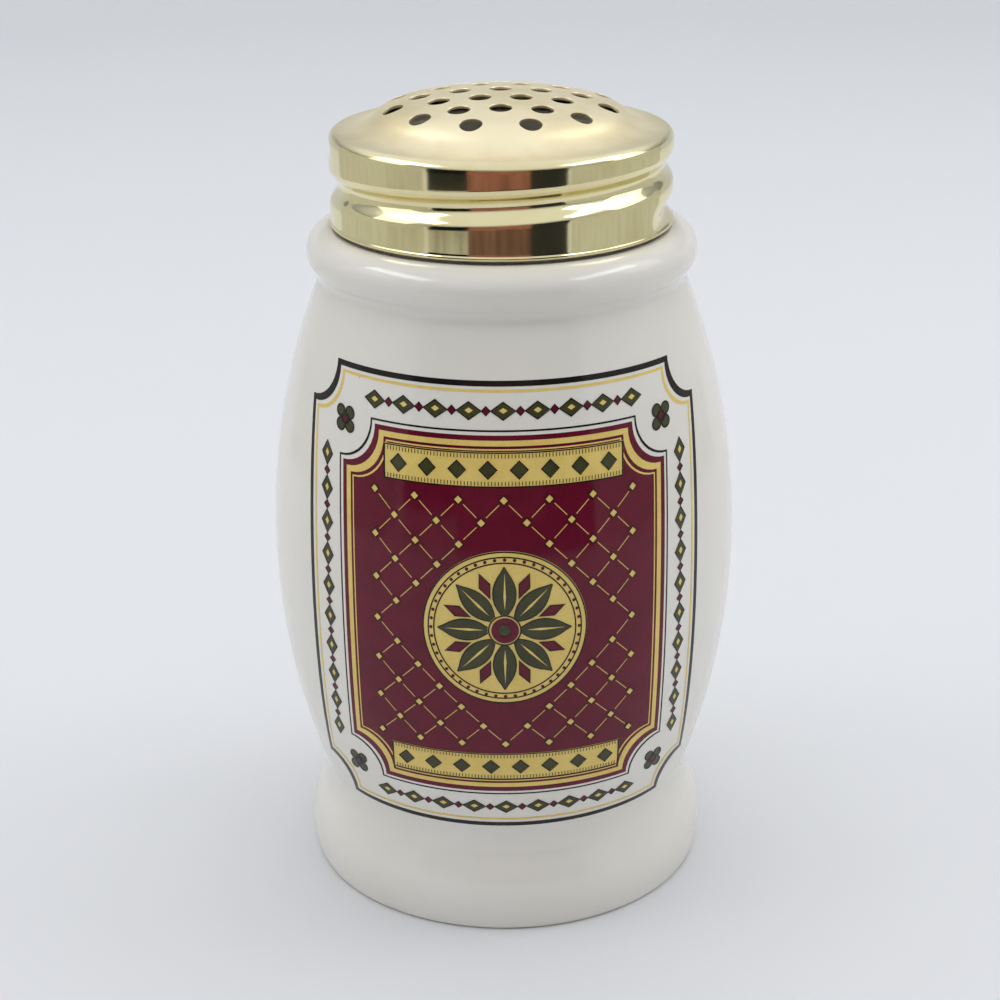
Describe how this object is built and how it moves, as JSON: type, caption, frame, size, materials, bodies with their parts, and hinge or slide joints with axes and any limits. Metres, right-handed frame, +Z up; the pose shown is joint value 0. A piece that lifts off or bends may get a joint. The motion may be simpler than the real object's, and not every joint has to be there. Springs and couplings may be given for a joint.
{
  "type": "parmesan shaker",
  "caption": "Barrel-shaped glazed ceramic jar for grated hard cheese, with a printed front and a gold-coloured screw cap whose domed top is pierced for shaking.",
  "frame": {"origin": "centre of the foot's underside, on the table", "axes": "+Z up along the jar's axis; -Y towards the printed front; +X to the right seen from the front"},
  "size_m": [0.084, 0.0843, 0.1442],
  "materials": {
    "white_glaze": "glossy white glaze, bare matt clay on the foot ring",
    "gold_tinplate": "tinplate with a clear gold lacquer, satin on the dome and bright on the skirt",
    "seal_compound": "matt cast sealing ring",
    "wine_print": "fired screen print under clear flux, glossy",
    "green_print": "fired screen print under clear flux, glossy",
    "straw_print": "fired screen print under clear flux, glossy",
    "dark_print": "fired screen print under clear flux, glossy"
  },
  "bodies": {
    "jar": {"jar_body": "white_glaze", "print_wine": "wine_print", "print_green": "green_print", "print_straw": "straw_print", "print_dark": "dark_print"},
    "seal": {"seal_ring": "seal_compound"},
    "cap": {"shaker_cap": "gold_tinplate"}
  },
  "joints": [
    {"name": "cap_rise", "type": "slide", "parent": "jar", "child": "seal", "axis": [0, 0, 1], "range_m": [0, 0.0162]},
    {"name": "cap_turn", "type": "hinge", "parent": "seal", "child": "cap", "pos_m": [0, 0, 0.1216], "axis": [0, 0, 1], "range_deg": [0, 810]}
  ],
  "couplings": [
    {"joint": "cap_turn", "follows": "cap_rise", "rad_per_m": 872.66}
  ]
}
